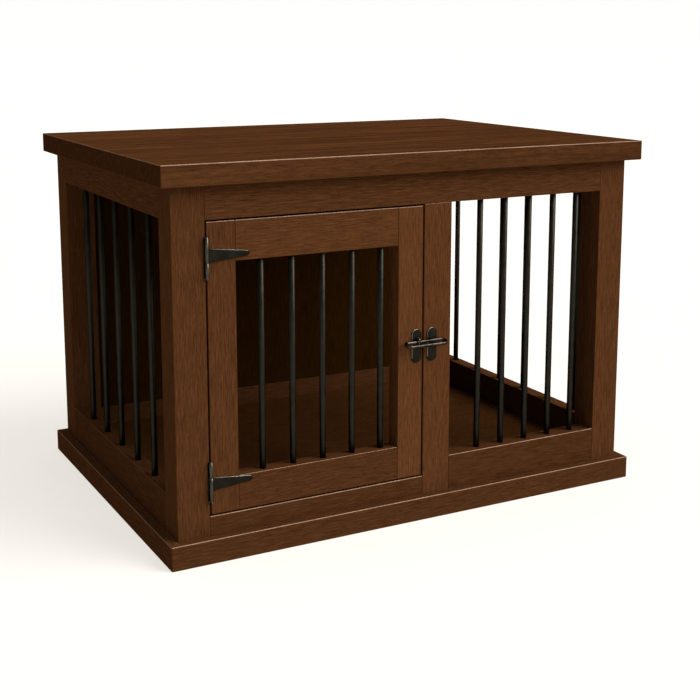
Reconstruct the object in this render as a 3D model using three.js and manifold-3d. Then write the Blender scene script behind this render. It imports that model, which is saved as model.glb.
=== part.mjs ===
// A furniture-style dog crate: a solid top on four posts, barred sides and window, a solid back,
// and an inset barred door on strap hinges with a ring latch. Millimetres, +Z up.
// The origin is on the floor under the crate's centre. The front, with the door, faces -Y.

import * as THREE from 'three';
import { mergeVertices } from 'three/addons/utils/BufferGeometryUtils.js';
import Module from 'manifold-3d';

const wasm = await Module();
wasm.setup();

// ---- driving dimensions ----

const FRAME_WIDTH = 912; // over the posts, along X
const FRAME_DEPTH = 660; // over the posts, along Y
const HEIGHT = 666;
const GAP = 0.3; // left between pieces that touch
const POST = 57; // square corner posts

const TOP_THICKNESS = 36;
const TOP_OVERHANG = 22;

const PLINTH_HEIGHT = 42;
const PLINTH_THICKNESS = 18;

const FRONT_THICKNESS = 36; // front rails and centre stile
const SIDE_THICKNESS = 28;
const REAR_THICKNESS = 28;
const RAIL_FOOT = 8; // bottom edge of the lower rails, behind the plinth
const TOP_RAIL_BOTTOM = 572.5;
const SILL_TOP = 75.7; // rail under the door
const WINDOW_SILL_TOP = 105.8; // rail under the fixed window
const SIDE_SILL_TOP = 108;
const REAR_SILL_TOP = 90;
const CENTRE_STILE = [12, 68]; // left and right edges of the stile beside the door

const DOOR_GAP = 3;
const DOOR_THICKNESS = 30;
const DOOR_STILE = 49.5;
const DOOR_OPENING = [138.5, 502.8]; // lower and upper edges of the barred opening

const TENON_THICKNESS = 10;
const TENON_LENGTH = 20;
const TENON_SHOULDER = 8;
const PANEL_THICKNESS = 12;
const PANEL_SETBACK = 4; // from the rear rails' inner face
const GROOVE_DEPTH = 6;

const FLOOR_THICKNESS = 11.7;
const FLOOR_BOARDS = ['front', 'rear'];
const CLEAT = 20;
const POST_CLEARANCE = 1; // between the floor boards and the posts

const BAR_RADIUS = 5.5;
const BAR_HOLE_DEPTH = 12;
const DOOR_BARS = { count: 5, middle: -181.9, spacing: 57 };
const WINDOW_BARS = { count: 5, middle: 248, spacing: 54 };
const LEFT_BARS = { count: 5, middle: 0, spacing: 91 };
const RIGHT_BARS = { count: 6, middle: 3, spacing: 89 };

const HINGE = {
  radius: 3.3,
  bore: 1.85,
  pin: 1.5,
  standOff: 0.3, // between the barrel and the door's face
  edgeOffset: 1.3, // from the door's edge to the pin's axis
  doorKnuckle: [-11.5, 30], // along the barrel, from the strap's centre line
  frameKnuckle: [-37.5, -11.8],
  strapLength: 75.3, // from the pin's axis
  strapThickness: 3,
  rootHalfHeight: 11.5,
  tipHalfHeight: 4.5,
  leafThickness: 1.55,
  leafWidth: 26,
  headRadius: 3,
  headHeight: 1.8,
};
const UPPER_HINGE_HEIGHT = 515;
const LOWER_HINGE_HEIGHT = 132;

const LATCH = {
  plateWidth: 19.4,
  plateHeight: 61,
  plateThickness: 2.5,
  plateMiddle: 320,
  doorX: -3.3, // middle of the door's plate
  frameX: 28.6, // middle of the frame's plate
  ringHeight: 328, // rear strand of the ring
  ringLength: 86,
  ringWidth: 13, // between the centre lines of the two strands
  ringX: 9.8, // middle of the ring
  rod: 3.2, // the ring's wire radius
  clearance: 0.9, // between the plates and the rear strand
  tilt: 20, // degrees that the front strand hangs below the rear one
  wire: 1.5, // radius of the eye's and the hook's wire
  wireBend: 2.4, // from a bend's corner to where it starts
  wireClearance: 1.3, // between the rear strand and the wire in front of it
  eyeHalfHeight: 5, // clear height above and below the rear strand
  hookSeat: 8.6, // hook's shank below the rear strand
  hookTip: 3.9, // hook's tip below the rear strand
};

const STOP_WIDTH = 10.2;
const STOP_THICKNESS = 5;

const OVERLAP = 1; // how far joined solids and cutting solids reach past a face
const MERGE_DISTANCE = 1e-4; // corners closer than this are one
const BAR_SIDES = 16;
const WIRE_SIDES = 12;
const RING_STEPS = 24;
const EYE_STEPS = 24;
const HOOK_STEPS = 16;
const PLATE_ARC_STEPS = 8;
const PIN_HEAD_STEPS = 4;

// ---- derived positions ----

const LEFT = -FRAME_WIDTH / 2;
const RIGHT = FRAME_WIDTH / 2;
const FRONT = -FRAME_DEPTH / 2;
const BACK = FRAME_DEPTH / 2;
const UNDER_TOP = HEIGHT - TOP_THICKNESS - GAP; // top ends of posts and top rails
const DOOR_LEFT = LEFT + POST + DOOR_GAP;
const DOOR_RIGHT = CENTRE_STILE[0] - DOOR_GAP;
const DOOR_BOTTOM = SILL_TOP + DOOR_GAP;
const DOOR_TOP = TOP_RAIL_BOTTOM - DOOR_GAP;
const HINGE_X = DOOR_LEFT - HINGE.edgeOffset;
const HINGE_Y = FRONT - HINGE.standOff - HINGE.radius;
const FRONT_BAR_Y = FRONT + FRONT_THICKNESS / 2;
const DOOR_BAR_Y = FRONT + DOOR_THICKNESS / 2;
const SIDE_BAR_X = RIGHT - SIDE_THICKNESS / 2;
const FLOOR_BOTTOM = PLINTH_HEIGHT + GAP;

// ---- materials ----

const finishes = {
  wood: { color: 0x5b371f, roughness: 0.55, metalness: 0 },
  top: { color: 0x5a351c, roughness: 0.5, metalness: 0 },
  interior: { color: 0x4a2c18, roughness: 0.65, metalness: 0 },
  bars: { color: 0x1b1a19, roughness: 0.45, metalness: 0.6 },
  hardware: { color: 0x24201d, roughness: 0.4, metalness: 0.8 },
};

const crate = new THREE.Group();
const frame = new THREE.Group();
const door = new THREE.Group();
crate.add(frame, door);

// ---- solids ----

function solid(geometry) {
  const bare = geometry.clone();
  bare.deleteAttribute('normal');
  bare.deleteAttribute('uv');
  const merged = mergeVertices(bare, MERGE_DISTANCE);
  const corners = merged.index.array;
  const triangles = [];
  for (let i = 0; i < corners.length; i += 3) {
    const [a, b, c] = [corners[i], corners[i + 1], corners[i + 2]];
    if (a !== b && b !== c && c !== a) triangles.push(a, b, c);
  }
  return new wasm.Manifold(new wasm.Mesh({
    numProp: 3,
    vertProperties: new Float32Array(merged.attributes.position.array),
    triVerts: new Uint32Array(triangles),
  }));
}

function block(x, y, z) {
  const geometry = new THREE.BoxGeometry(x[1] - x[0], y[1] - y[0], z[1] - z[0]);
  geometry.translate((x[0] + x[1]) / 2, (y[0] + y[1]) / 2, (z[0] + z[1]) / 2);
  return solid(geometry);
}

// An upright round bar between two heights.
function upright(x, y, z, radius) {
  const geometry = new THREE.CylinderGeometry(radius, radius, z[1] - z[0], BAR_SIDES);
  geometry.rotateX(Math.PI / 2);
  geometry.translate(x, y, (z[0] + z[1]) / 2);
  return solid(geometry);
}

// A flat shape drawn in X and Z, with a thickness from its back face towards -Y.
function plate(shape, backY, thickness) {
  const geometry = new THREE.ExtrudeGeometry(shape, {
    depth: thickness, bevelEnabled: false, curveSegments: PLATE_ARC_STEPS,
  });
  geometry.rotateX(Math.PI / 2);
  geometry.translate(0, backY, 0);
  return solid(geometry);
}

// Round wire along a curve.
function wire(curve, radius, steps) {
  const section = new THREE.Shape();
  section.absarc(0, 0, radius, 0, 2 * Math.PI);
  return solid(new THREE.ExtrudeGeometry(section, {
    extrudePath: curve, steps, bevelEnabled: false, curveSegments: WIRE_SIDES,
  }));
}

// Adds a solid as a named mesh, with its own origin at the middle of its box.
function place(group, name, body, finish) {
  const mesh = body.getMesh();
  const geometry = new THREE.BufferGeometry();
  geometry.setAttribute('position', new THREE.BufferAttribute(new Float32Array(mesh.vertProperties), 3));
  geometry.setIndex(new THREE.BufferAttribute(new Uint32Array(mesh.triVerts), 1));
  geometry.computeBoundingBox();
  const middle = geometry.boundingBox.getCenter(new THREE.Vector3());
  geometry.translate(-middle.x, -middle.y, -middle.z);
  geometry.computeVertexNormals();
  const piece = new THREE.Mesh(geometry, new THREE.MeshStandardMaterial(finish));
  piece.name = name;
  piece.position.copy(middle);
  group.add(piece);
}

// ---- joinery ----

// A tenon that leaves a shoulder along X, and the mortise it needs.
function tenonX(shoulder, direction, middleY, z) {
  const half = TENON_THICKNESS / 2;
  const reach = shoulder + direction * TENON_LENGTH;
  const height = [z[0] + TENON_SHOULDER, z[1] - TENON_SHOULDER];
  return {
    tenon: block(sorted(shoulder - direction * OVERLAP, reach), [middleY - half, middleY + half], height),
    mortise: block(
      sorted(shoulder - direction * GAP, reach + direction * 2 * GAP),
      [middleY - half - GAP, middleY + half + GAP],
      [height[0] - GAP, height[1] + GAP],
    ),
  };
}

// The same along Y.
function tenonY(shoulder, direction, middleX, z) {
  const half = TENON_THICKNESS / 2;
  const reach = shoulder + direction * TENON_LENGTH;
  const height = [z[0] + TENON_SHOULDER, z[1] - TENON_SHOULDER];
  return {
    tenon: block([middleX - half, middleX + half], sorted(shoulder - direction * OVERLAP, reach), height),
    mortise: block(
      [middleX - half - GAP, middleX + half + GAP],
      sorted(shoulder - direction * GAP, reach + direction * 2 * GAP),
      [height[0] - GAP, height[1] + GAP],
    ),
  };
}

function sorted(a, b) {
  return a < b ? [a, b] : [b, a];
}

// A rail along X between two faces, with a tenon in each. Its mortises go to the lists given.
function railAlongX(x, y, z, leftMortises, rightMortises) {
  const middle = (y[0] + y[1]) / 2;
  const left = tenonX(x[0] + GAP, -1, middle, z);
  const right = tenonX(x[1] - GAP, 1, middle, z);
  leftMortises.push(left.mortise);
  rightMortises.push(right.mortise);
  return block([x[0] + GAP, x[1] - GAP], y, z).add(left.tenon).add(right.tenon);
}

function railAlongY(x, y, z, frontMortises, rearMortises) {
  const middle = (x[0] + x[1]) / 2;
  const front = tenonY(y[0] + GAP, -1, middle, z);
  const rear = tenonY(y[1] - GAP, 1, middle, z);
  frontMortises.push(front.mortise);
  rearMortises.push(rear.mortise);
  return block(x, [y[0] + GAP, y[1] - GAP], z).add(front.tenon).add(rear.tenon);
}

function cutAll(body, cuts) {
  return cuts.reduce((rest, cut) => rest.subtract(cut), body);
}

// ---- bars ----

// Places of a row of bars along its opening.
function barPlaces(row) {
  const first = row.middle - row.spacing * (row.count - 1) / 2;
  return Array.from({ length: row.count }, (_, i) => first + i * row.spacing);
}

// Blind holes for a row of bars in the rails below and above it.
function barHoles(points, below, above) {
  const radius = BAR_RADIUS + GAP;
  return {
    below: points.map(([x, y]) => upright(x, y, [below - BAR_HOLE_DEPTH, below + OVERLAP], radius)),
    above: points.map(([x, y]) => upright(x, y, [above - OVERLAP, above + BAR_HOLE_DEPTH], radius)),
  };
}

function placeBars(group, name, points, below, above) {
  const ends = [below - BAR_HOLE_DEPTH + GAP, above + BAR_HOLE_DEPTH - GAP];
  points.forEach(([x, y], i) => {
    place(group, `${name}_${i + 1}`, upright(x, y, ends, BAR_RADIUS), finishes.bars);
  });
}

const windowPoints = barPlaces(WINDOW_BARS).map((x) => [x, FRONT_BAR_Y]);
const doorPoints = barPlaces(DOOR_BARS).map((x) => [x, DOOR_BAR_Y]);
const leftPoints = barPlaces(LEFT_BARS).map((y) => [-SIDE_BAR_X, y]);
const rightPoints = barPlaces(RIGHT_BARS).map((y) => [SIDE_BAR_X, y]);

// ---- frame: rails, stile, posts ----

const mortises = { frontLeft: [], frontRight: [], rearLeft: [], rearRight: [], stile: [], topRail: [] };
const innerX = [LEFT + POST, RIGHT - POST];
const innerY = [FRONT + POST, BACK - POST];
const frontY = [FRONT, FRONT + FRONT_THICKNESS];
const rearY = [BACK - REAR_THICKNESS, BACK];
const leftX = [LEFT, LEFT + SIDE_THICKNESS];
const rightX = [RIGHT - SIDE_THICKNESS, RIGHT];
const topRailZ = [TOP_RAIL_BOTTOM, UNDER_TOP];

function buildFront() {
  const { frontLeft, frontRight, stile, topRail } = mortises;
  const holes = barHoles(windowPoints, WINDOW_SILL_TOP, TOP_RAIL_BOTTOM);
  const topRailBody = railAlongX(innerX, frontY, topRailZ, frontLeft, frontRight);
  const windowRail = railAlongX(
    [CENTRE_STILE[1], innerX[1]], frontY, [RAIL_FOOT, WINDOW_SILL_TOP], stile, frontRight,
  );
  const sillRail = railAlongX(
    [innerX[0], CENTRE_STILE[0]], frontY, [RAIL_FOOT, SILL_TOP], frontLeft, stile,
  );

  // The stile's tenon goes up into the top rail.
  const middle = (frontY[0] + frontY[1]) / 2;
  const half = TENON_THICKNESS / 2;
  const across = [CENTRE_STILE[0] + TENON_SHOULDER, CENTRE_STILE[1] - TENON_SHOULDER];
  const stileTop = TOP_RAIL_BOTTOM - GAP;
  const tenon = block(across, [middle - half, middle + half], [stileTop - OVERLAP, stileTop + TENON_LENGTH]);
  topRail.push(block(
    [across[0] - GAP, across[1] + GAP],
    [middle - half - GAP, middle + half + GAP],
    [TOP_RAIL_BOTTOM - OVERLAP, stileTop + TENON_LENGTH + GAP],
  ));
  const stileBody = block(CENTRE_STILE, frontY, [RAIL_FOOT, stileTop]).add(tenon);

  place(frame, 'front_top_rail', cutAll(topRailBody, [...topRail, ...holes.above]), finishes.wood);
  place(frame, 'front_window_rail', cutAll(windowRail, holes.below), finishes.wood);
  place(frame, 'front_sill_rail', sillRail, finishes.wood);
  place(frame, 'front_centre_stile', cutAll(stileBody, stile), finishes.wood);
  placeBars(frame, 'window_bar', windowPoints, WINDOW_SILL_TOP, TOP_RAIL_BOTTOM);
}

function buildSide(side, x, points, frontMortises, rearMortises) {
  const holes = barHoles(points, SIDE_SILL_TOP, TOP_RAIL_BOTTOM);
  const top = railAlongY(x, innerY, topRailZ, frontMortises, rearMortises);
  const bottom = railAlongY(x, innerY, [RAIL_FOOT, SIDE_SILL_TOP], frontMortises, rearMortises);
  place(frame, `${side}_top_rail`, cutAll(top, holes.above), finishes.wood);
  place(frame, `${side}_bottom_rail`, cutAll(bottom, holes.below), finishes.wood);
  placeBars(frame, `${side}_bar`, points, SIDE_SILL_TOP, TOP_RAIL_BOTTOM);
}

// The back panel sits in grooves in the rear rails and posts.
function buildRear() {
  const { rearLeft, rearRight } = mortises;
  const panelY = [rearY[0] + PANEL_SETBACK, rearY[0] + PANEL_SETBACK + PANEL_THICKNESS];
  const panel = block(
    [innerX[0] - GROOVE_DEPTH + GAP, innerX[1] + GROOVE_DEPTH - GAP],
    panelY,
    [REAR_SILL_TOP - GROOVE_DEPTH + GAP, TOP_RAIL_BOTTOM + GROOVE_DEPTH - GAP],
  );
  const groove = block(
    [innerX[0] - GROOVE_DEPTH, innerX[1] + GROOVE_DEPTH],
    [panelY[0] - GAP, panelY[1] + GAP],
    [REAR_SILL_TOP - GROOVE_DEPTH, TOP_RAIL_BOTTOM + GROOVE_DEPTH],
  );
  const top = railAlongX(innerX, rearY, topRailZ, rearLeft, rearRight);
  const bottom = railAlongX(innerX, rearY, [RAIL_FOOT, REAR_SILL_TOP], rearLeft, rearRight);
  rearLeft.push(groove);
  rearRight.push(groove);
  place(frame, 'rear_top_rail', top.subtract(groove), finishes.wood);
  place(frame, 'rear_bottom_rail', bottom.subtract(groove), finishes.wood);
  place(frame, 'rear_panel', panel, finishes.interior);
}

function buildPosts() {
  const z = [0, UNDER_TOP];
  const posts = [
    ['front_left', [LEFT, innerX[0]], [FRONT, innerY[0]], mortises.frontLeft],
    ['front_right', [innerX[1], RIGHT], [FRONT, innerY[0]], mortises.frontRight],
    ['rear_left', [LEFT, innerX[0]], [innerY[1], BACK], mortises.rearLeft],
    ['rear_right', [innerX[1], RIGHT], [innerY[1], BACK], mortises.rearRight],
  ];
  for (const [corner, x, y, cuts] of posts) {
    place(frame, `post_${corner}`, cutAll(block(x, y, z), cuts), finishes.wood);
  }
}

// ---- top, plinth, floor, door stop ----

function buildTop() {
  place(frame, 'top_panel', block(
    [LEFT - TOP_OVERHANG, RIGHT + TOP_OVERHANG],
    [FRONT - TOP_OVERHANG, BACK + TOP_OVERHANG],
    [HEIGHT - TOP_THICKNESS, HEIGHT],
  ), finishes.top);
}

// A plinth board with mitred ends, as long as the crate's side outside it.
function plinthBoard(halfLength) {
  const short = halfLength + GAP;
  const long = halfLength + PLINTH_THICKNESS;
  const outline = new THREE.Shape();
  outline.moveTo(-long + GAP, -PLINTH_THICKNESS);
  outline.lineTo(long - GAP, -PLINTH_THICKNESS);
  outline.lineTo(short - GAP, -GAP);
  outline.lineTo(-short + GAP, -GAP);
  outline.closePath();
  return new THREE.ExtrudeGeometry(outline, { depth: PLINTH_HEIGHT, bevelEnabled: false });
}

function buildPlinth() {
  const boards = [
    ['plinth_front', FRAME_WIDTH / 2, FRAME_DEPTH / 2, 0],
    ['plinth_right', FRAME_DEPTH / 2, FRAME_WIDTH / 2, Math.PI / 2],
    ['plinth_rear', FRAME_WIDTH / 2, FRAME_DEPTH / 2, Math.PI],
    ['plinth_left', FRAME_DEPTH / 2, FRAME_WIDTH / 2, -Math.PI / 2],
  ];
  for (const [name, halfLength, distance, turn] of boards) {
    const board = new THREE.Mesh(plinthBoard(halfLength), new THREE.MeshStandardMaterial(finishes.wood));
    board.name = name;
    board.rotation.z = turn;
    board.position.set(distance * Math.sin(turn), -distance * Math.cos(turn), 0);
    frame.add(board);
  }
}

// Boards along X on cleats and a bearer, notched round the posts.
function buildFloor() {
  const x = [leftX[1] + GAP, rightX[0] - GAP];
  const y = [frontY[1] + GAP, rearY[0] - GAP];
  const z = [FLOOR_BOTTOM, FLOOR_BOTTOM + FLOOR_THICKNESS];
  const width = (y[1] - y[0] + GAP) / FLOOR_BOARDS.length;
  const notchX = [[x[0] - OVERLAP, innerX[0] + POST_CLEARANCE], [innerX[1] - POST_CLEARANCE, x[1] + OVERLAP]];
  const notchY = [[y[0] - OVERLAP, innerY[0] + POST_CLEARANCE], [innerY[1] - POST_CLEARANCE, y[1] + OVERLAP]];
  const notchZ = [z[0] - OVERLAP, z[1] + OVERLAP];
  const notches = notchX.flatMap((nx) => notchY.map((ny) => block(nx, ny, notchZ)));
  FLOOR_BOARDS.forEach((name, i) => {
    const start = y[0] + i * width;
    const board = block(x, [start, start + width - GAP], z);
    place(frame, `floor_board_${name}`, cutAll(board, notches), finishes.interior);
  });

  const cleatZ = [PLINTH_HEIGHT - CLEAT, PLINTH_HEIGHT];
  const cleatY = [innerY[0] + GAP, innerY[1] - GAP];
  place(frame, 'floor_cleat_left', block([x[0], x[0] + CLEAT], cleatY, cleatZ), finishes.interior);
  place(frame, 'floor_cleat_right', block([x[1] - CLEAT, x[1]], cleatY, cleatZ), finishes.interior);
  place(frame, 'floor_bearer', block([-CLEAT, CLEAT], y, cleatZ), finishes.interior);
}

// A thin bead on the centre stile's edge, behind the closed door.
function buildDoorStop() {
  const edge = CENTRE_STILE[0] - GAP;
  place(frame, 'door_stop', block(
    [edge - STOP_WIDTH, edge],
    [frontY[1] - STOP_THICKNESS, frontY[1]],
    [SILL_TOP + GAP, TOP_RAIL_BOTTOM - GAP],
  ), finishes.wood);
}

// ---- door ----

function buildDoor() {
  const y = [FRONT, FRONT + DOOR_THICKNESS];
  const opening = [DOOR_LEFT + DOOR_STILE, DOOR_RIGHT - DOOR_STILE];
  const hingeMortises = [];
  const latchMortises = [];
  const holes = barHoles(doorPoints, DOOR_OPENING[0], DOOR_OPENING[1]);
  const top = railAlongX(opening, y, [DOOR_OPENING[1], DOOR_TOP], hingeMortises, latchMortises);
  const bottom = railAlongX(opening, y, [DOOR_BOTTOM, DOOR_OPENING[0]], hingeMortises, latchMortises);
  const hingeStile = block([DOOR_LEFT, opening[0]], y, [DOOR_BOTTOM, DOOR_TOP]);
  const latchStile = block([opening[1], DOOR_RIGHT], y, [DOOR_BOTTOM, DOOR_TOP]);
  place(door, 'door_top_rail', cutAll(top, holes.above), finishes.wood);
  place(door, 'door_bottom_rail', cutAll(bottom, holes.below), finishes.wood);
  place(door, 'door_hinge_stile', cutAll(hingeStile, hingeMortises), finishes.wood);
  place(door, 'door_latch_stile', cutAll(latchStile, latchMortises), finishes.wood);
  placeBars(door, 'door_bar', doorPoints, DOOR_OPENING[0], DOOR_OPENING[1]);
}

// ---- hinges ----

// Heights on a hinge, measured from its strap's centre line. flip is -1 on an upside-down hinge.
function hingeSpan(span, height, flip) {
  return sorted(height + flip * span[0], height + flip * span[1]);
}

function strapShape(height) {
  const shape = new THREE.Shape();
  const tip = HINGE_X + HINGE.strapLength - HINGE.tipHalfHeight;
  const root = HINGE_X + HINGE.radius;
  shape.moveTo(HINGE_X, height - HINGE.rootHalfHeight);
  shape.lineTo(root, height - HINGE.rootHalfHeight);
  shape.lineTo(tip, height - HINGE.tipHalfHeight);
  shape.absarc(tip, height, HINGE.tipHalfHeight, -Math.PI / 2, Math.PI / 2);
  shape.lineTo(root, height + HINGE.rootHalfHeight);
  shape.lineTo(HINGE_X, height + HINGE.rootHalfHeight);
  shape.closePath();
  return shape;
}

function buildHinge(name, height, flip) {
  const face = HINGE_Y + HINGE.radius;
  const doorZ = hingeSpan(HINGE.doorKnuckle, height, flip);
  const frameZ = hingeSpan(HINGE.frameKnuckle, height, flip);
  const wholeZ = [Math.min(doorZ[0], frameZ[0]), Math.max(doorZ[1], frameZ[1])];
  const bore = upright(HINGE_X, HINGE_Y, [wholeZ[0] - OVERLAP, wholeZ[1] + OVERLAP], HINGE.bore);

  const strap = plate(strapShape(height), face, HINGE.strapThickness)
    .add(upright(HINGE_X, HINGE_Y, doorZ, HINGE.radius))
    .subtract(bore);
  place(door, `${name}_hinge_strap`, strap, finishes.hardware);

  const leafX = [HINGE_X - HINGE.radius, HINGE_X - HINGE.radius + HINGE.leafThickness];
  const leafBack = FRONT + HINGE.leafWidth;
  const leaf = block(leafX, [FRONT + GAP, leafBack], wholeZ)
    .add(block(leafX, [HINGE_Y, leafBack], frameZ))
    .add(upright(HINGE_X, HINGE_Y, frameZ, HINGE.radius))
    .subtract(bore);
  place(frame, `${name}_hinge_leaf`, leaf, finishes.hardware);
  mortises.frontLeft.push(block(
    [leafX[0] - GAP, innerX[0] + OVERLAP],
    [FRONT - OVERLAP, leafBack + GAP],
    [wholeZ[0] - GAP, wholeZ[1] + GAP],
  ));

  // The pin's body and its two domed heads are one turned profile.
  const half = (wholeZ[1] - wholeZ[0]) / 2 + GAP;
  const dome = half + HINGE.headHeight;
  const profile = new THREE.Path();
  profile.moveTo(0, -dome);
  profile.quadraticCurveTo(HINGE.headRadius, -dome, HINGE.headRadius, -half);
  profile.lineTo(HINGE.pin, -half);
  profile.lineTo(HINGE.pin, half);
  profile.lineTo(HINGE.headRadius, half);
  profile.quadraticCurveTo(HINGE.headRadius, dome, 0, dome);
  const turned = new THREE.LatheGeometry(profile.getPoints(PIN_HEAD_STEPS), BAR_SIDES);
  turned.rotateX(Math.PI / 2);
  turned.translate(HINGE_X, HINGE_Y, (wholeZ[0] + wholeZ[1]) / 2);
  place(frame, `${name}_hinge_pin`, solid(turned), finishes.hardware);
}

// ---- latch ----

function obround(x) {
  const r = LATCH.plateWidth / 2;
  const straight = LATCH.plateHeight / 2 - r;
  const shape = new THREE.Shape();
  shape.absarc(x, LATCH.plateMiddle + straight, r, 0, Math.PI);
  shape.absarc(x, LATCH.plateMiddle - straight, r, Math.PI, 2 * Math.PI);
  shape.closePath();
  return shape;
}

// Straight runs joined by quarter turns, through points in one upright plane across X.
function bentPath(x, points, bend) {
  const path = new THREE.CurvePath();
  let start = new THREE.Vector3(x, ...points[0]);
  for (let i = 1; i < points.length - 1; i += 1) {
    const corner = new THREE.Vector3(x, ...points[i]);
    const before = new THREE.Vector3(x, ...points[i - 1]).sub(corner).setLength(bend).add(corner);
    const after = new THREE.Vector3(x, ...points[i + 1]).sub(corner).setLength(bend).add(corner);
    path.add(new THREE.LineCurve3(start, before));
    path.add(new THREE.QuadraticBezierCurve3(before, corner, after));
    start = after;
  }
  path.add(new THREE.LineCurve3(start, new THREE.Vector3(x, ...points[points.length - 1])));
  return path;
}

const plateFace = FRONT - LATCH.plateThickness;
const ringY = plateFace - LATCH.clearance - LATCH.rod;
const wireY = ringY - LATCH.rod - LATCH.wireClearance - LATCH.wire;

// The door's plate has a closed eye that carries the ring's rear strand.
function buildDoorPlate() {
  const reach = LATCH.eyeHalfHeight + LATCH.wire;
  const path = bentPath(LATCH.doorX, [
    [plateFace + OVERLAP, LATCH.ringHeight + reach],
    [wireY, LATCH.ringHeight + reach],
    [wireY, LATCH.ringHeight - reach],
    [plateFace + OVERLAP, LATCH.ringHeight - reach],
  ], LATCH.wireBend);
  const eye = wire(path, LATCH.wire, EYE_STEPS);
  const body = plate(obround(LATCH.doorX), FRONT - GAP, LATCH.plateThickness - GAP).add(eye);
  place(door, 'door_latch_plate', body, finishes.hardware);
}

// The frame's plate has a hook with its tip up, that the lowered ring drops behind.
function buildKeeper() {
  const shank = LATCH.ringHeight - LATCH.hookSeat - LATCH.wire;
  const path = bentPath(LATCH.frameX, [
    [plateFace + OVERLAP, shank],
    [wireY, shank],
    [wireY, LATCH.ringHeight - LATCH.hookTip],
  ], LATCH.wireBend);
  const hook = wire(path, LATCH.wire, HOOK_STEPS);
  const body = plate(obround(LATCH.frameX), FRONT - GAP, LATCH.plateThickness - GAP).add(hook);
  place(frame, 'latch_keeper', body, finishes.hardware);
}

// The oval ring is a torus pulled apart at its middle, tilted about its rear strand.
function buildRing() {
  const bend = LATCH.ringWidth / 2;
  const pull = LATCH.ringLength / 2 - LATCH.rod - bend;
  const geometry = new THREE.TorusGeometry(bend, LATCH.rod, WIRE_SIDES, RING_STEPS);
  geometry.rotateZ(Math.PI / RING_STEPS); // so that no section lies on the middle plane
  const corners = geometry.attributes.position;
  for (let i = 0; i < corners.count; i += 1) {
    corners.setX(i, corners.getX(i) + Math.sign(corners.getX(i)) * pull);
  }
  geometry.translate(0, -bend, 0);
  const ring = new THREE.Mesh(geometry, new THREE.MeshStandardMaterial(finishes.hardware));
  ring.name = 'latch_ring';
  ring.position.set(LATCH.ringX, ringY, LATCH.ringHeight);
  ring.rotation.x = THREE.MathUtils.degToRad(LATCH.tilt);
  door.add(ring);
}

buildFront();
buildSide('left', leftX, leftPoints, mortises.frontLeft, mortises.rearLeft);
buildSide('right', rightX, rightPoints, mortises.frontRight, mortises.rearRight);
buildRear();
buildHinge('upper', UPPER_HINGE_HEIGHT, 1);
buildHinge('lower', LOWER_HINGE_HEIGHT, -1);
buildPosts();
buildTop();
buildPlinth();
buildFloor();
buildDoorStop();
buildDoor();
buildDoorPlate();
buildKeeper();
buildRing();

export default crate;
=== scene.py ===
"""Studio scene for the furniture-style dog crate: stained wood boards, black bars, dark bronze hardware.

Metres, +Z up. The crate's front, with the barred door, faces -Y.
"""
import math
from collections import namedtuple

import bmesh
import bpy
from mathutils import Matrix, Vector


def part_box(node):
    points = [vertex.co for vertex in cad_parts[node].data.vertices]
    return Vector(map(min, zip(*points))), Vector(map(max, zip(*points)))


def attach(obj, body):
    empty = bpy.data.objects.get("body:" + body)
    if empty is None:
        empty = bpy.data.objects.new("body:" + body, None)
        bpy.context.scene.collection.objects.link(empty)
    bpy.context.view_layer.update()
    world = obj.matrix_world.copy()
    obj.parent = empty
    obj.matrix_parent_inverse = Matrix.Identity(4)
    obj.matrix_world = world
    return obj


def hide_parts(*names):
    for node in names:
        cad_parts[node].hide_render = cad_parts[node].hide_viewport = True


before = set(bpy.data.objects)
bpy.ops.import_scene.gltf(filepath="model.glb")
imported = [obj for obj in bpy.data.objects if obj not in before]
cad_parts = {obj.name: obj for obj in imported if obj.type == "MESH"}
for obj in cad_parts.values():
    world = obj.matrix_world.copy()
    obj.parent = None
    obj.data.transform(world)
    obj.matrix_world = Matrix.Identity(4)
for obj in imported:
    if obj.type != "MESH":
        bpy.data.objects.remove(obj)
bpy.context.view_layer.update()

MM = 0.001

# ---- shader nodes ----


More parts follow.
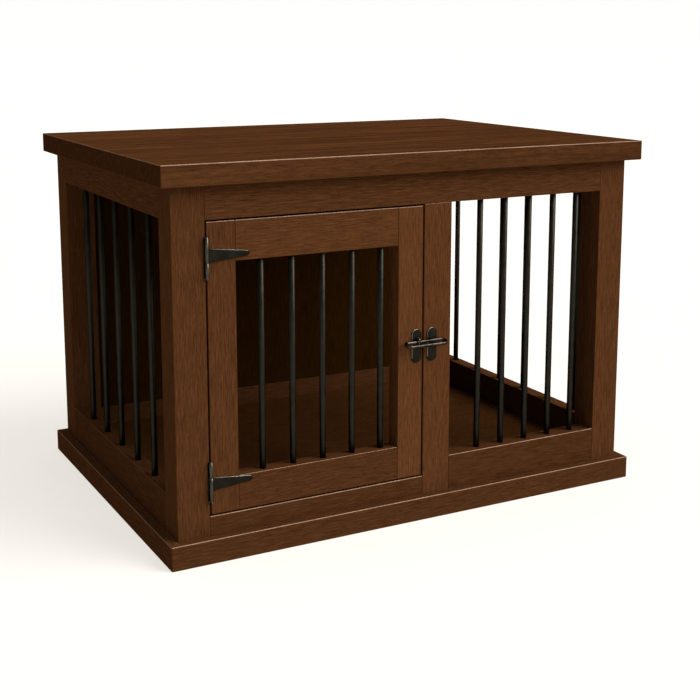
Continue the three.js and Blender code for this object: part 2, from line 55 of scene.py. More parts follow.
class Shader:
    """A material's node tree, with the few kinds of node that the finishes use."""

    def __init__(self, name):
        self.material = bpy.data.materials.new(name)
        self.material.use_nodes = True
        self.nodes = self.material.node_tree.nodes
        self.links = self.material.node_tree.links

    def feed(self, port, value):
        """Gives a socket a link or a plain value. Colours are given as three numbers."""
        if isinstance(value, bpy.types.NodeSocket):
            self.links.new(value, port)
        else:
            port.default_value = (*value, 1) if port.type == "RGBA" else value

    def surface(self, inputs):
        """Feeds the surface's inputs by their names, and returns the finished material."""
        for name, value in inputs.items():
            self.feed(self.nodes["Principled BSDF"].inputs[name], value)
        return self.material

    def coordinate(self, kind):
        return self.nodes.new("ShaderNodeTexCoord").outputs[kind]

    def split(self, vector):
        node = self.nodes.new("ShaderNodeSeparateXYZ")
        self.feed(node.inputs[0], vector)
        return node.outputs

    def stretched(self, vector, along, across):
        """Coordinates in cells this long and this wide, in metres, with the grain along X."""
        node = self.nodes.new("ShaderNodeMapping")
        self.feed(node.inputs["Scale"], (1 / along, 1 / across, 1 / across))
        self.feed(node.inputs["Vector"], vector)
        return node.outputs["Vector"]

    def noise(self, vector, detail, rough=0.5, distortion=0.0, scale=1.0):
        node = self.nodes.new("ShaderNodeTexNoise")
        self.feed(node.inputs["Scale"], scale)
        self.feed(node.inputs["Detail"], detail)
        self.feed(node.inputs["Roughness"], rough)
        self.feed(node.inputs["Distortion"], distortion)
        self.feed(node.inputs["Vector"], vector)
        return node.outputs["Fac"]

    def remap(self, value, low, high, to_low=0.0, to_high=1.0):
        node = self.nodes.new("ShaderNodeMapRange")
        self.feed(node.inputs["From Min"], low)
        self.feed(node.inputs["From Max"], high)
        self.feed(node.inputs["To Min"], to_low)
        self.feed(node.inputs["To Max"], to_high)
        self.feed(node.inputs["Value"], value)
        return node.outputs["Result"]

    def compute(self, operation, first, second=0.0):
        node = self.nodes.new("ShaderNodeMath")
        node.operation = operation
        self.feed(node.inputs[0], first)
        self.feed(node.inputs[1], second)
        return node.outputs[0]

    def mixed(self, factor, first, second, blend="MIX"):
        node = self.nodes.new("ShaderNodeMix")
        node.data_type = "RGBA"
        node.blend_type = blend
        ports = {port.identifier: port for port in node.inputs}
        self.feed(ports["Factor_Float"], factor)
        self.feed(ports["A_Color"], first)
        self.feed(ports["B_Color"], second)
        return next(port for port in node.outputs if port.identifier == "Result_Color")

    def shaded(self, colour, value, amount=1.0):
        """A colour made darker or lighter by a value."""
        grey = self.nodes.new("ShaderNodeCombineColor")
        for port in grey.inputs[:3]:
            self.feed(port, value)
        return self.mixed(amount, colour, grey.outputs[0], "MULTIPLY")

    def bump(self, height, strength, distance):
        node = self.nodes.new("ShaderNodeBump")
        self.feed(node.inputs["Strength"], strength)
        self.feed(node.inputs["Distance"], distance)
        self.feed(node.inputs["Height"], height)
        return node.outputs[0]


# ---- camera, floor and light ----

CAMERA_PLACE = (-1.1199, -2.1747, 0.8687)
CAMERA_YAW = math.radians(28.07)  # to the right of +Y
CAMERA_PITCH = math.radians(9.69)  # below the horizon
CAMERA_LENS = 64.26
CAMERA_SENSOR = 36.0
CAMERA_SHIFT = -0.15

FLOOR_SIZE = 160.0
FLOOR_COLOUR = (0.225, 0.216, 0.206)
FLOOR_ROUGHNESS = 0.9
FLOOR_GLOW = 0.675  # the floor is a glowing table
FLOOR_GLOW_COLOUR = (1.0, 0.956, 0.892)

HORIZON_COLOUR = (1.0, 1.0, 0.985)
HORIZON_TOP = 0.05  # sine of the elevation where the white starts to dim
SKY_COLOUR = (0.25, 0.25, 0.25)
SKY_BOTTOM = 0.20  # and of the one where it has dimmed to the sky's colour
KEY_STRENGTH = 6.2
KEY_COLOUR = (1.0, 0.995, 0.985)
KEY_DIRECTION = (-0.55, 0.47, -0.50)  # the way its light travels
KEY_SPREAD = math.radians(48)
TOP_STRENGTH = 1.9
TOP_COLOUR = (1.0, 0.97, 0.93)
TOP_DIRECTION = (0.0, 0.12, -1.0)
TOP_SPREAD = math.radians(70)


def add_camera():
    data = bpy.data.cameras.new("camera")
    data.sensor_width = CAMERA_SENSOR
    data.lens = CAMERA_LENS
    data.shift_y = CAMERA_SHIFT
    data.clip_end = FLOOR_SIZE
    camera = bpy.data.objects.new("camera", data)
    bpy.context.scene.collection.objects.link(camera)
    camera.location = CAMERA_PLACE
    camera.rotation_euler = (math.pi / 2 - CAMERA_PITCH, 0, -CAMERA_YAW)
    bpy.context.scene.camera = camera


def floor_finish():
    return Shader("floor").surface({
        "Base Color": FLOOR_COLOUR, "Roughness": FLOOR_ROUGHNESS, "Specular IOR Level": 0.0,
        "Emission Color": FLOOR_GLOW_COLOUR, "Emission Strength": FLOOR_GLOW,
    })


def add_floor():
    half = FLOOR_SIZE / 2
    mesh = bpy.data.meshes.new("floor")
    corners = [(-half, -half, 0), (half, -half, 0), (half, half, 0), (-half, half, 0)]
    mesh.from_pydata(corners, [], [(0, 1, 2, 3)])
    mesh.materials.append(floor_finish())
    floor = bpy.data.objects.new("floor", mesh)
    bpy.context.scene.collection.objects.link(floor)


def add_sun(name, direction, strength, spread, colour):
    data = bpy.data.lights.new(name, "SUN")
    data.energy = strength
    data.angle = spread
    data.color = colour
    sun = bpy.data.objects.new(name, data)
    bpy.context.scene.collection.objects.link(sun)
    sun.rotation_mode = "QUATERNION"
    sun.rotation_quaternion = Vector(direction).to_track_quat("-Z", "Y")


def add_sky():
    """White at the horizon, where the floor ends, and dimmer overhead."""
    world = bpy.data.worlds.new("studio")
    bpy.context.scene.world = world
    world.use_nodes = True
    nodes, links = world.node_tree.nodes, world.node_tree.links
    place = nodes.new("ShaderNodeTexCoord")
    split = nodes.new("ShaderNodeSeparateXYZ")
    links.new(place.outputs["Generated"], split.inputs[0])
    ramp = nodes.new("ShaderNodeValToRGB")
    ramp.color_ramp.interpolation = "EASE"
    horizon, overhead = ramp.color_ramp.elements
    horizon.position = HORIZON_TOP
    horizon.color = (*HORIZON_COLOUR, 1)
    overhead.position = SKY_BOTTOM
    overhead.color = (*SKY_COLOUR, 1)
    links.new(split.outputs["Z"], ramp.inputs[0])
    links.new(ramp.outputs[0], nodes["Background"].inputs["Color"])
    nodes["Background"].inputs["Strength"].default_value = 1.0


# ---- wood ----

# reach and width are a streak's size, fibre is a fibre's width, contrast is that of the streaks,
# and upright is how much of the contrast shows on upright faces.
Figure = namedtuple("Figure", "reach width fibre contrast upright")
FIGURE = Figure(0.042, 0.0020, 0.0014, 0.62, 1.0)
TOP_FIGURE = Figure(0.30, 0.012, 0.0026, 1.4, 0.35)

# Dark, middle and light.
FRAME_TONES = ((0.041, 0.0150, 0.0050), (0.050, 0.0187, 0.0065), (0.060, 0.0232, 0.0086))
# The top's tones are a little darker than the frame's: painted shade that offsets the extra light on the
# top.
SHADED_TOP_TONES = ((0.041, 0.0151, 0.0051), (0.045, 0.0167, 0.0057), (0.050, 0.0189, 0.0067))
# The crate floor's and rear panel's tones are darker copies of the frame's stain: painted shade for the dim
# inside.
SHADED_FLOOR_TONES = ((0.031, 0.0112, 0.0030), (0.039, 0.0143, 0.0040), (0.047, 0.0178, 0.0055))
SHADED_PANEL_TONES = ((0.014, 0.0052, 0.0006), (0.018, 0.0066, 0.0008), (0.022, 0.0083, 0.0011))
STAINED_ARRIS = (0.050, 0.0190, 0.0066)
# Pale colour of the upper arrises: partly rubbed wear, partly a painted highlight.
RUBBED_AND_HIGHLIT_ARRIS = (0.29, 0.190, 0.130)
FRAME_ROUGHNESS = 0.6
TOP_ROUGHNESS = 0.55
ARRIS_ROUGHNESS = 0.4

GRAIN = {"x": (0, 0, 0), "y": (0, 0, math.pi / 2), "z": (0, math.pi / 2, 0)}  # turns the grain to X
BOARD_OFFSET = (1.37, 0.61, 0.83)  # from one board's figure to the next one's
BAND_SIZE = (0.9, 0.045)  # length and width of the broad bands of tone
FIBRE_LENGTH = 0.026
PORE_SIZE = (0.012, 0.0008)

NOISE_RANGE = (0.3, 0.7)  # where most of a noise's values lie
BAND_RANGE = (0.2, 0.8)
LIGHT_STREAK_RANGE = (0.40, 0.70)
STREAK_RANGE = (0.30, 0.66)
STREAK_DARKENS = 0.36  # at a contrast of 1
STREAK_LIGHTENS = 0.28
FIBRE_SHADES = (0.76, 1.20)
PORE_RANGE = (0.60, 0.70)
PORE_AMOUNT = 0.55
PORE_SHADE = 0.35
FACING = (0.5, 0.9)  # part of the normal that lies along an axis, from turned away to facing it
END_GRAIN_SHADE = 0.68  # cut ends drink more stain
DARK_ROUGHENS = 0.07
LIGHT_SMOOTHS = 0.05
GRAIN_BUMP = (0.6, 0.0003)  # strength and depth

WEAR_SIZE = (0.07, 0.02)  # of the patches where an arris is more or less worn
WEAR_RANGE = (0.35, 0.60)
WEAR_AMOUNTS = (0.72, 1.0)
WEAR_SEED = 3.0
SIDE_WEAR_AND_HIGHLIGHT = 0.30  # paleness of the upper arrises at the sides, against 1 at the front: wear and painted highlight
WORN_FIBRE_SIZE = (0.02, 0.0015)
WORN_FIBRE_SHADES = (0.85, 1.12)
CORNER_SHARE = 0.9  # makes an arris that faces front and side alike count as neither
OUTWARD_RANGE = (0.05, 0.45)
UPWARD_RANGE = (0.12, 0.45)


def along_grain(shader, axis, seed):
    """Rest coordinates in metres, with the board's grain turned to X and its own offset in the figure."""
    turn = shader.nodes.new("ShaderNodeMapping")
    shader.feed(turn.inputs["Rotation"], GRAIN[axis])
    shader.feed(turn.inputs["Location"], tuple(seed * step for step in BOARD_OFFSET))
    shader.feed(turn.inputs["Vector"], shader.coordinate("Object"))
    return turn.outputs["Vector"]


def wood(name, axis, seed, tones, roughness, figure, painted_light_and_shade=1.0):
    """Stained wood. tones are its dark, middle and light colours, which the last argument makes lighter or
    darker as painted light and shade.
    """
    shader = Shader(name)
    grain = along_grain(shader, axis, seed)
    normal = shader.split(shader.coordinate("Normal"))
    bands = shader.noise(shader.stretched(grain, *BAND_SIZE), 2.0, 0.5, 0.5)
    streaks = shader.noise(shader.stretched(grain, figure.reach, figure.width), 4.0, 0.70, 0.1)
    fibres = shader.noise(shader.stretched(grain, FIBRE_LENGTH, figure.fibre), 2.0, 0.6)
    pores = shader.noise(shader.stretched(grain, *PORE_SIZE), 1.0)

    dark, middle, light = (tuple(painted_light_and_shade * c for c in tone) for tone in tones)
    colour = shader.mixed(shader.remap(bands, *BAND_RANGE), dark, middle)
    colour = shader.mixed(shader.remap(streaks, *LIGHT_STREAK_RANGE), colour, light)
    darkest = 1 - STREAK_DARKENS * figure.contrast
    lightest = 1 + STREAK_LIGHTENS * figure.contrast
    level = shader.remap(shader.compute("ABSOLUTE", normal["Z"]), *FACING, figure.upright, 1.0)
    colour = shader.shaded(colour, shader.remap(streaks, *STREAK_RANGE, darkest, lightest), level)
    colour = shader.shaded(colour, shader.remap(fibres, *NOISE_RANGE, *FIBRE_SHADES))
    cut_across = shader.compute("ABSOLUTE", normal[axis.upper()])
    colour = shader.shaded(colour, shader.remap(cut_across, *FACING, 1.0, END_GRAIN_SHADE))
    pore = shader.remap(pores, *PORE_RANGE, 0.0, PORE_AMOUNT)
    colour = shader.mixed(pore, colour, tuple(PORE_SHADE * c for c in dark))

    rough = shader.remap(streaks, *NOISE_RANGE, roughness + DARK_ROUGHENS, roughness - LIGHT_SMOOTHS)
    height = shader.compute("SUBTRACT", fibres, pore)
    return shader.surface({
        "Base Color": colour, "Roughness": rough, "Specular IOR Level": 0.0,
        "Normal": shader.bump(height, *GRAIN_BUMP),
    })


def worn_and_highlit_edge(name, axis):
    """A board's arris: stained where it is upright or underneath, and pale along the top, partly rubbed
    wear and partly a painted highlight where the light catches it.
    """
    shader = Shader(name)
    grain = along_grain(shader, axis, WEAR_SEED)
    normal = shader.split(shader.coordinate("Normal"))
    wear = shader.noise(shader.stretched(grain, *WEAR_SIZE), 4.0, 0.6)
    fibres = shader.noise(shader.stretched(grain, *WORN_FIBRE_SIZE), 2.0, 0.6)

    beside = shader.compute("ABSOLUTE", normal["X"])
    along = shader.compute("ABSOLUTE", normal["Y"])
    ahead = shader.compute("MULTIPLY", normal["Y"], -1.0)
    front = shader.compute("SUBTRACT", ahead, shader.compute("MULTIPLY", beside, CORNER_SHARE))
    side = shader.compute("SUBTRACT", beside, shader.compute("MULTIPLY", along, CORNER_SHARE))
    front = shader.remap(front, *OUTWARD_RANGE)
    side = shader.remap(side, *OUTWARD_RANGE, 0.0, SIDE_WEAR_AND_HIGHLIGHT)
    upward = shader.remap(normal["Z"], *UPWARD_RANGE)
    # Pale where the arris faces up and to the front: rubbed wear and a painted highlight.
    exposed_and_lit = shader.compute("MULTIPLY", upward, shader.compute("MAXIMUM", front, side))
    amount = shader.compute("MULTIPLY", shader.remap(wear, *WEAR_RANGE, *WEAR_AMOUNTS), exposed_and_lit)

    colour = shader.mixed(amount, STAINED_ARRIS, RUBBED_AND_HIGHLIT_ARRIS)
    colour = shader.shaded(colour, shader.remap(fibres, *NOISE_RANGE, *WORN_FIBRE_SHADES))
    return shader.surface({
        "Base Color": colour, "Roughness": ARRIS_ROUGHNESS, "Specular IOR Level": 0.0,
    })


# ---- metal ----

METAL_EDGE_TINT = (1.0, 0.93, 0.76)
METAL_BUMP = 0.35
CLOUD_SPREAD = 14  # how much larger a metal's patches of tone are than its grain


def metal(name, dark, light, roughness, edge, grain_size, bump_depth, uneven=0.07):
    """Blackened metal with a mottled finish. edge is its glance at a slant; uneven varies its roughness."""
    shader = Shader(name)
    place = shader.coordinate("Object")
    mottle = shader.noise(place, 4.0, 0.6, scale=1 / grain_size)
    cloud = shader.noise(place, 3.0, 0.5, scale=1 / (grain_size * CLOUD_SPREAD))
    return shader.surface({
        "Base Color": shader.mixed(shader.remap(cloud, *NOISE_RANGE), dark, light),
        "Roughness": shader.remap(cloud, *NOISE_RANGE, roughness - uneven, roughness + uneven),
        "Metallic": 1.0,
        "Specular Tint": tuple(edge * c for c in METAL_EDGE_TINT),
        "Normal": shader.bump(mottle, METAL_BUMP, bump_depth),
    })


def bar_coating():
    return metal(
        "bar_coating", dark=(0.0175, 0.0160, 0.0122), light=(0.0240, 0.0220, 0.0170),
        roughness=0.41, edge=0.25, grain_size=0.0012, bump_depth=0.00006)


def hardware_finish():
    return metal(
        "hardware_finish", dark=(0.0100, 0.0092, 0.0066), light=(0.0160, 0.0148, 0.0108),
        roughness=0.42, edge=0.25, grain_size=0.0010, bump_depth=0.00005)


def highlit_barrel_finish():
    """Smoother than the hinge's flat parts, as knuckles are, and lighter as a painted highlight."""
    return metal(
        "highlit_barrel_finish", dark=(0.0440, 0.0425, 0.0305), light=(0.0720, 0.0700, 0.0510),
        roughness=0.32, edge=0.25, grain_size=0.0010, bump_depth=0.00002)


def rubbed_and_highlit_finish():
    """Metal whose black has been rubbed away, pale enough to stand as a painted highlight on the rims that
    face the light.
    """
    return metal(
        "rubbed_highlit_edge", dark=(0.220, 0.200, 0.155), light=(0.440, 0.400, 0.320),
        roughness=0.38, edge=0.5, grain_size=0.0010, bump_depth=0.00003)


def ring_finish():
    """Black in places and handled bright in others."""
    return metal(
        "ring_finish", dark=(0.0040, 0.0028, 0.0018), light=(0.0560, 0.0450, 0.0350),
        roughness=0.24, edge=0.3, grain_size=0.0012, bump_depth=0.00001, uneven=0.12)


# ---- boards: the CAD solids, with eased arrises ----

BOARDS = {  # by the axis of their grain
    "x": [
        "top_panel", "front_top_rail", "front_window_rail", "front_sill_rail", "rear_top_rail",
        "rear_bottom_rail", "floor_board_front", "floor_board_rear", "plinth_front", "plinth_rear",
        "door_top_rail", "door_bottom_rail",
    ],
    "y": [
        "left_top_rail", "left_bottom_rail", "right_top_rail", "right_bottom_rail", "plinth_left",
        "plinth_right", "floor_cleat_left", "floor_cleat_right", "floor_bearer",
    ],
    "z": [
        "post_front_left", "post_front_right", "post_rear_left", "post_rear_right", "front_centre_stile",
        "rear_panel", "door_hinge_stile", "door_latch_stile", "door_stop",
    ],
}
# Darker tones inside the crate are painted shade.
SHADED_INNER_TONES = {"rear_panel": SHADED_PANEL_TONES, "floor_": SHADED_FLOOR_TONES}
BOARD_LIGHT_AND_SHADE = {  # boards made lighter or darker than their neighbours as painted light and shade: lighter towards the right of the front, darker low down and on the left side
    "door_latch_stile": 1.24, "door_top_rail": 1.06, "door_bottom_rail": 0.89, "front_centre_stile": 1.10,
    "front_sill_rail": 0.87, "front_window_rail": 0.82, "left_bottom_rail": 0.74, "plinth_front": 0.88,
    "plinth_left": 0.84, "post_front_left": 0.97, "post_front_right": 1.05,
}
ARRIS_WIDTHS = {
    "top_panel": 1.4 * MM, "plinth": 1.1 * MM, "rear_panel": 0.3 * MM, "floor_": 0.5 * MM,
    "post_": 0.75 * MM,
}
ARRIS_ELSEWHERE = 1.0 * MM
ARRIS_SEGMENTS = 3
ARRIS_ANGLE = math.radians(40)  # edges sharper than this are rounded
FLAT_ANGLE = math.radians(0.5)
WELD_DISTANCE = 1e-6


def matching(table, name, otherwise):
    return next((value for prefix, value in table.items() if name.startswith(prefix)), otherwise)


def ease(node, width):
    """Rounds a CAD board's edges with modifiers; the rounding takes the board's second material."""
    weld = node.modifiers.new("weld", "WELD")
    weld.merge_threshold = WELD_DISTANCE
    # One polygon for each flat face lets the edges bevel evenly.
    flat = node.modifiers.new("flat", "DECIMATE")
    flat.decimate_type = "DISSOLVE"
    flat.angle_limit = FLAT_ANGLE
    bevel = node.modifiers.new("arris", "BEVEL")
    bevel.width = width
    bevel.segments = ARRIS_SEGMENTS
    bevel.limit_method = "ANGLE"
    bevel.angle_limit = ARRIS_ANGLE
    bevel.use_clamp_overlap = False
    bevel.material = 1


def board_wood(name, axis, seed):
    if name == "top_panel":
        return wood("wood_" + name, axis, seed, SHADED_TOP_TONES, TOP_ROUGHNESS, TOP_FIGURE)
    tones = matching(SHADED_INNER_TONES, name, FRAME_TONES)
    return wood("wood_" + name, axis, seed, tones, FRAME_ROUGHNESS, FIGURE, BOARD_LIGHT_AND_SHADE.get(name, 1.0))


def finish_boards():
    edges = {axis: worn_and_highlit_edge(f"worn_and_highlit_edge_{axis}", axis) for axis in BOARDS}
    boards = [(axis, name) for axis, names in BOARDS.items() for name in names]
    for seed, (axis, name) in enumerate(boards, start=1):
        material = board_wood(name, axis, seed)
        # The outer boards get arrises with wear and a painted highlight.
        is_worn_and_highlit = not name.startswith(("rear_", "floor_"))
        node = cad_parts[name]
        node.data.materials.clear()
        node.data.materials.append(material)
        node.data.materials.append(edges[axis] if is_worn_and_highlit else material)
        ease(node, matching(ARRIS_WIDTHS, name, ARRIS_ELSEWHERE))


# ---- mesh building ----


def piece(name, bm, body, material, nodes):
    """Makes a visible piece of what bm holds. It rides a body and stands in for CAD nodes."""
    bmesh.ops.recalc_face_normals(bm, faces=bm.faces)
    mesh = bpy.data.meshes.new(name)
    bm.to_mesh(mesh)
    bm.free()
    for polygon in mesh.polygons:
        polygon.use_smooth = True
    mesh.materials.append(material)
    obj = bpy.data.objects.new(name, mesh)
    bpy.context.scene.collection.objects.link(obj)
    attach(obj, body)
    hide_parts(*nodes)
    return obj


def bridge(bm, rings, closed_path=False):
    """Quads between rings of vertices, with flat ends unless the path is closed."""
    made = [[bm.verts.new(p) for p in ring] for ring in rings]
    count = len(made[0])
    pairs = list(zip(made, made[1:])) + ([(made[-1], made[0])] if closed_path else [])
    for first, second in pairs:
        for i in range(count):
            j = (i + 1) % count
            bm.faces.new((first[i], first[j], second[j], second[i]))
    if not closed_path:
        bm.faces.new(list(reversed(made[0])))
        bm.faces.new(made[-1])


def circle(centre, first, second, radius, sides):
    """Points round a circle in the plane of two unit vectors."""
    turn = [2 * math.pi * i / sides for i in range(sides)]
    return [centre + radius * (math.cos(t) * first + math.sin(t) * second) for t in turn]


def turned(bm, x, y, profile, sides, is_sleeve=False):
    """A turned solid on a vertical axis.

    profile is (radius, height) from the bottom up, or a closed loop of them for a sleeve.
    """
    across, ahead = Vector((1, 0, 0)), Vector((0, 1, 0))
    rings = [circle(Vector((x, y, z)), across, ahead, radius, sides) for radius, z in profile]
    bridge(bm, rings, closed_path=is_sleeve)


def tube(bm, points, radius, sides=20, closed=False, round_end=False):
    """A round wire along a path, with an optional domed far end."""
    rings = []
    count = len(points)
    side = None
    for i, point in enumerate(points):
        before = points[i - 1] if closed or i > 0 else point
        after = points[(i + 1) % count] if closed or i < count - 1 else point
        ahead = (after - before).normalized()
        if side is None:
            side = ahead.orthogonal().normalized()
        side = (side - side.dot(ahead) * ahead).normalized()
        rings.append(circle(point, side, ahead.cross(side), radius, sides))
    if round_end:
        rings += dome(points[-1], (points[-1] - points[-2]).normalized(), side, radius, sides)
    bridge(bm, rings, closed_path=closed)


def dome(centre, ahead, side, radius, sides, steps=5):
    """Rings that round a wire's end. The last one is small, and a flat end closes it."""
    turn = [step / steps * math.pi / 2 for step in range(1, steps)]
    return [
        circle(centre + ahead * radius * math.sin(t), side, ahead.cross(side), radius * math.cos(t), sides)
        for t in turn
    ]


def bent(points, bend, steps=6):
    """A path through points with its corners rounded."""
    path = [points[0]]
    for before, corner, after in zip(points, points[1:], points[2:]):
        start = corner + (before - corner).normalized() * bend
        end = corner + (after - corner).normalized() * bend
        for i in range(steps + 1):
            t = i / steps
            path.append(start * (1 - t) ** 2 + corner * 2 * t * (1 - t) + end * t ** 2)
    return path + [points[-1]]


def arc(centre, radius, start, end, steps):
    """Points round part of a circle in a flat outline, with angles in degrees."""
    turn = [math.radians(start + (end - start) * i / steps) for i in range(steps + 1)]
    return [(centre[0] + radius * math.cos(t), centre[1] + radius * math.sin(t)) for t in turn]


def rectangle(left, right, low, high):
    return [(left, low), (right, low), (right, high), (left, high)]


def inset(outline, distance):
    """A convex outline with each side moved in by a distance."""
    moved = []
    count = len(outline)
    for i in range(count):
        before, here, after = (Vector(outline[(i + k) % count]) for k in (-1, 0, 1))
        first, second = (here - before).normalized(), (after - here).normalized()
        inward = Vector((-first.y, first.x)) + Vector((-second.y, second.x))
        inward /= inward.dot(Vector((-first.y, first.x)))
        moved.append(here + inward * distance)
    return moved


def in_front_plane(u, depth, v):
    return (u, depth, v)


def in_side_plane(u, depth, v):
    return (depth, u, v)


def faced_plate(bm, outline, back, front, rim, place=in_front_plane, steps=4):
    """A plate with a rounded rim on its front, from an outline that runs anticlockwise."""
    toward = math.copysign(1, front - back)
    rings = [[Vector(place(u, back, v)) for u, v in outline]]
    for step in range(steps + 1):
        t = step / steps * math.pi / 2
        depth = front - toward * rim * (1 - math.sin(t))
        rings.append([Vector(place(u, depth, v)) for u, v in inset(outline, rim * (1 - math.cos(t)))])
    bridge(bm, rings)


RUBBED_AND_LIT_TOWARD = Vector((-0.66, 0, 0.75)).normalized()  # faces that look this way get rubbed metal with a painted highlight
RUBBED_AND_LIT_ABOVE = 0.42


def rub_and_highlight(mesh, rubbed_and_lit):
    """Gives the sloping faces that meet the hand and the light a rubbed finish with a painted highlight."""
    mesh.materials.append(rubbed_and_lit)
    for polygon in mesh.polygons:
        if polygon.normal.dot(RUBBED_AND_LIT_TOWARD) > RUBBED_AND_LIT_ABOVE:
            polygon.material_index = 1


# ---- bars ----

BAR_COUNTS = {"door": 5, "window": 5, "left": 5, "right": 6}
BAR_END = 0.6 * MM  # chamfer at a bar's ends
ROD_SIDES = 32


def build_bar(node, body, coating):
    low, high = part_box(node)
    centre, radius = (low + high) / 2, (high.x - low.x) / 2
    bm = bmesh.new()
    turned(bm, centre.x, centre.y, [
        (radius - BAR_END, low.z), (radius, low.z + BAR_END),
        (radius, high.z - BAR_END), (radius - BAR_END, high.z),
    ], ROD_SIDES)
    piece(node + "_rod", bm, body, coating, [node])


def build_bars(coating):
    for group, count in BAR_COUNTS.items():
        body = "door" if group == "door" else "frame"
        for index in range(1, count + 1):
            build_bar(f"{group}_bar_{index}", body, coating)


# ---- hinges ----

FRONT = -330 * MM  # the crate's front face
CLEARANCE = 0.3 * MM
HINGE_X = -397.3 * MM
HINGE_Y = -333.6 * MM
HINGES = {"upper": (515 * MM, 1), "lower": (132 * MM, -1)}  # strap's height, and -1 for upside down
BARREL_RADIUS = 3.3 * MM
BARREL_BORE = 1.85 * MM
BARREL_EASE = 0.35 * MM
BARREL_SIDES = 40
ON_BARREL = 1.02  # faces nearer the pin than this many barrel radii are the barrel's
DOOR_KNUCKLE = (-11.5 * MM, 30 * MM)  # from the strap's centre line
FRAME_KNUCKLE = (-37.5 * MM, -11.8 * MM)
STRAP_LENGTH = 75.3 * MM
STRAP_THICKNESS = 3 * MM
STRAP_START = 0.8  # in barrel radii from the pin, inside the barrel's wall
STRAP_ROOT = 11.5 * MM  # half heights
STRAP_TIP = 4.5 * MM
STRAP_RIM = 1.5 * MM
LEAF_THICKNESS = 1.55 * MM
LEAF_WIDTH = 26 * MM
LEAF_RIM = 0.3 * MM
TONGUE_REACH = 1 * MM  # how far the leaf's tongue runs in behind the crate's front
PIN_RADIUS = 1.5 * MM
PIN_HEAD = 3 * MM
PIN_HEAD_HEIGHT = 1.8 * MM
PIN_HEAD_STEPS = (0, 0.35, 0.7, 1.0, 1.25, 1.45)  # angles up the dome


def span(pair, height, flip):
    return sorted(height + flip * value for value in pair)


def sleeve(bm, low, high):
    turned(bm, HINGE_X, HINGE_Y, [
        (BARREL_BORE, low), (BARREL_RADIUS - BARREL_EASE, low), (BARREL_RADIUS, low + BARREL_EASE),
        (BARREL_RADIUS, high - BARREL_EASE), (BARREL_RADIUS - BARREL_EASE, high), (BARREL_BORE, high),
    ], BARREL_SIDES, is_sleeve=True)


def shine_and_highlight_barrel(mesh, highlit_barrel):
    """Gives a hinge's round knuckle a smoother finish than its flat part, lighter as a painted highlight.
    """
    mesh.materials.append(highlit_barrel)
    for polygon in mesh.polygons:
        from_pin = math.hypot(polygon.center.x - HINGE_X, polygon.center.y - HINGE_Y)
        if from_pin < BARREL_RADIUS * ON_BARREL:
            polygon.material_index = len(mesh.materials) - 1


def build_strap(name, height, knuckle, hardware, highlit_barrel, rubbed_and_lit):
    """The hinge's half on the door: a tapered strap and its knuckle."""
    bm = bmesh.new()
    sleeve(bm, *knuckle)
    tip = HINGE_X + STRAP_LENGTH - STRAP_TIP
    root = HINGE_X + BARREL_RADIUS * STRAP_START
    outline = [(root, height - STRAP_ROOT)] + arc((tip, height), STRAP_TIP, -90, 90, 12)
    outline.append((root, height + STRAP_ROOT))
    faced_plate(bm, outline, FRONT - CLEARANCE, FRONT - CLEARANCE - STRAP_THICKNESS, STRAP_RIM)
    strap = piece(name + "_strap", bm, "door", hardware, [name + "_hinge_strap"])
    rub_and_highlight(strap.data, rubbed_and_lit)
    shine_and_highlight_barrel(strap.data, highlit_barrel)


def build_leaf(name, knuckle, whole, hardware, highlit_barrel):
    """The hinge's half on the post: a leaf in the door gap, with a tongue out to its knuckle."""
    bm = bmesh.new()
    sleeve(bm, *knuckle)
    back = HINGE_X - BARREL_RADIUS
    leaf = rectangle(FRONT + CLEARANCE, FRONT + LEAF_WIDTH, *whole)
    tongue = rectangle(HINGE_Y, FRONT + TONGUE_REACH, *knuckle)
    for shape in (leaf, tongue):
        faced_plate(bm, shape, back, back + LEAF_THICKNESS, LEAF_RIM, in_side_plane, steps=2)
    made = piece(name + "_leaf", bm, "frame", hardware, [name + "_hinge_leaf"])
    shine_and_highlight_barrel(made.data, highlit_barrel)


def build_pin(name, whole, highlit_barrel):
    low, high = whole
    rounding = [(PIN_HEAD * math.cos(t), PIN_HEAD_HEIGHT * math.sin(t)) for t in PIN_HEAD_STEPS]
    profile = [(radius, low - CLEARANCE - rise) for radius, rise in reversed(rounding)]
    profile += [(PIN_RADIUS, low - CLEARANCE), (PIN_RADIUS, high + CLEARANCE)]
    profile += [(radius, high + CLEARANCE + rise) for radius, rise in rounding]
    bm = bmesh.new()
    turned(bm, HINGE_X, HINGE_Y, profile, ROD_SIDES)
    piece(name + "_pin", bm, "frame", highlit_barrel, [name + "_hinge_pin"])


def build_hinges(hardware, highlit_barrel, rubbed_and_lit):
    for name, (height, flip) in HINGES.items():
        door_knuckle = span(DOOR_KNUCKLE, height, flip)
        frame_knuckle = span(FRAME_KNUCKLE, height, flip)
        whole = (min(door_knuckle + frame_knuckle), max(door_knuckle + frame_knuckle))
        build_strap(name, height, door_knuckle, hardware, highlit_barrel, rubbed_and_lit)
        build_leaf(name, frame_knuckle, whole, hardware, highlit_barrel)
        build_pin(name, whole, highlit_barrel)


# ---- latch ----

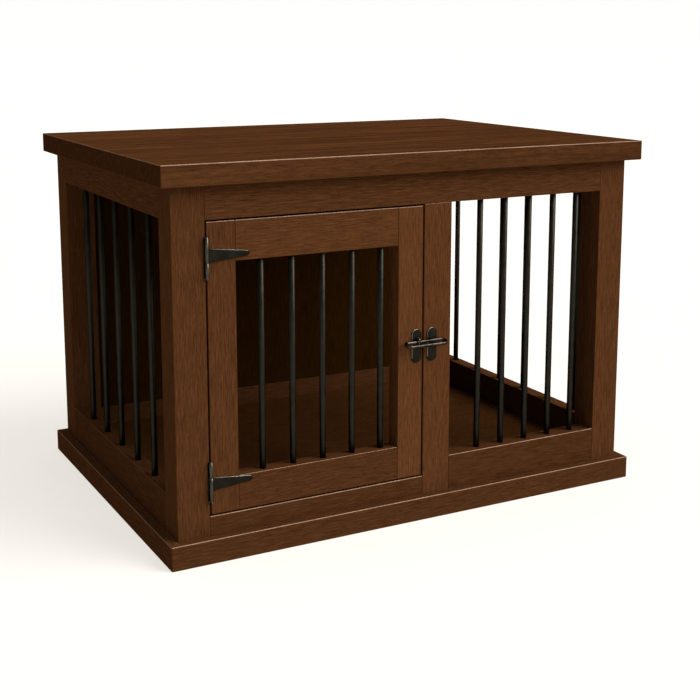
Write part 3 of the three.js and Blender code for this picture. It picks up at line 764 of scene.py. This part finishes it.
PLATE_WIDTH = 19.4 * MM
PLATE_HEIGHT = 61 * MM
PLATE_THICKNESS = 2.5 * MM
PLATE_MIDDLE = 320 * MM
PLATE_RIM = 1.2 * MM
DOOR_PLATE_X = -3.3 * MM
FRAME_PLATE_X = 28.6 * MM
RING_HEIGHT = 328 * MM  # rear strand
RING_LENGTH = 86 * MM
RING_WIDTH = 13 * MM  # between the strands' centre lines
RING_X = 9.8 * MM
RING_ROD = 3.2 * MM
RING_GAP = 0.9 * MM  # from the plates
RING_SIDES = 24
RING_TILT = math.radians(20)
RING_Y = FRONT - PLATE_THICKNESS - RING_GAP - RING_ROD
WIRE = 1.5 * MM
WIRE_GAP = 1.3 * MM  # from the ring
WIRE_Y = RING_Y - RING_ROD - WIRE_GAP - WIRE
WIRE_BEND = 2.4 * MM
WIRE_START = FRONT - PLATE_THICKNESS + 1 * MM  # inside the plate
EYE_REACH = 5 * MM + WIRE
HOOK_SHANK = -8.6 * MM - WIRE
HOOK_TIP = -3.9 * MM - WIRE

# Corners as (y, height above the ring's rear strand).
EYE = [(WIRE_START, EYE_REACH), (WIRE_Y, EYE_REACH), (WIRE_Y, -EYE_REACH), (WIRE_START, -EYE_REACH)]
HOOK = [(WIRE_START, HOOK_SHANK), (WIRE_Y, HOOK_SHANK), (WIRE_Y, HOOK_TIP)]


def plate_with_wire(x, corners, round_end):
    """An upright latch plate with round ends, and a bent wire that stands out of it."""
    radius = PLATE_WIDTH / 2
    straight = PLATE_HEIGHT / 2 - radius
    outline = arc((x, PLATE_MIDDLE + straight), radius, 0, 180, 20)
    outline += arc((x, PLATE_MIDDLE - straight), radius, 180, 360, 20)
    bm = bmesh.new()
    faced_plate(bm, outline, FRONT - CLEARANCE, FRONT - PLATE_THICKNESS, PLATE_RIM, steps=5)
    path = bent([Vector((x, y, RING_HEIGHT + rise)) for y, rise in corners], WIRE_BEND)
    tube(bm, path, WIRE, round_end=round_end)
    return bm


def build_door_plate(hardware, rubbed_and_lit):
    bm = plate_with_wire(DOOR_PLATE_X, EYE, round_end=False)
    plate = piece("door_plate_and_eye", bm, "door", hardware, ["door_latch_plate"])
    rub_and_highlight(plate.data, rubbed_and_lit)


def build_keeper(hardware, rubbed_and_lit):
    bm = plate_with_wire(FRAME_PLATE_X, HOOK, round_end=True)
    keeper = piece("keeper_plate_and_hook", bm, "frame", hardware, ["latch_keeper"])
    rub_and_highlight(keeper.data, rubbed_and_lit)


def build_ring(finish):
    bend = RING_WIDTH / 2
    straight = RING_LENGTH / 2 - RING_ROD - bend
    flat = arc((straight, -bend), bend, 90, -90, 16) + arc((-straight, -bend), bend, 270, 90, 16)
    back, up = math.cos(RING_TILT), math.sin(RING_TILT)
    path = [Vector((RING_X + u, RING_Y + v * back, RING_HEIGHT + v * up)) for u, v in flat]
    bm = bmesh.new()
    tube(bm, path, RING_ROD, RING_SIDES, closed=True)
    piece("ring", bm, "latch_ring", finish, ["latch_ring"])


add_camera()
add_floor()
add_sky()
add_sun("key", KEY_DIRECTION, KEY_STRENGTH, KEY_SPREAD, KEY_COLOUR)
add_sun("overhead", TOP_DIRECTION, TOP_STRENGTH, TOP_SPREAD, TOP_COLOUR)
finish_boards()
build_bars(bar_coating())
# The barrel finish is lighter than the flat parts as a painted highlight.
# The rubbed finish is pale metal with a painted highlight.
hardware, highlit_barrel, rubbed_and_lit = hardware_finish(), highlit_barrel_finish(), rubbed_and_highlit_finish()
build_hinges(hardware, highlit_barrel, rubbed_and_lit)
build_door_plate(hardware, rubbed_and_lit)
build_keeper(hardware, rubbed_and_lit)
build_ring(ring_finish())

bpy.context.scene.view_settings.view_transform = "Standard"
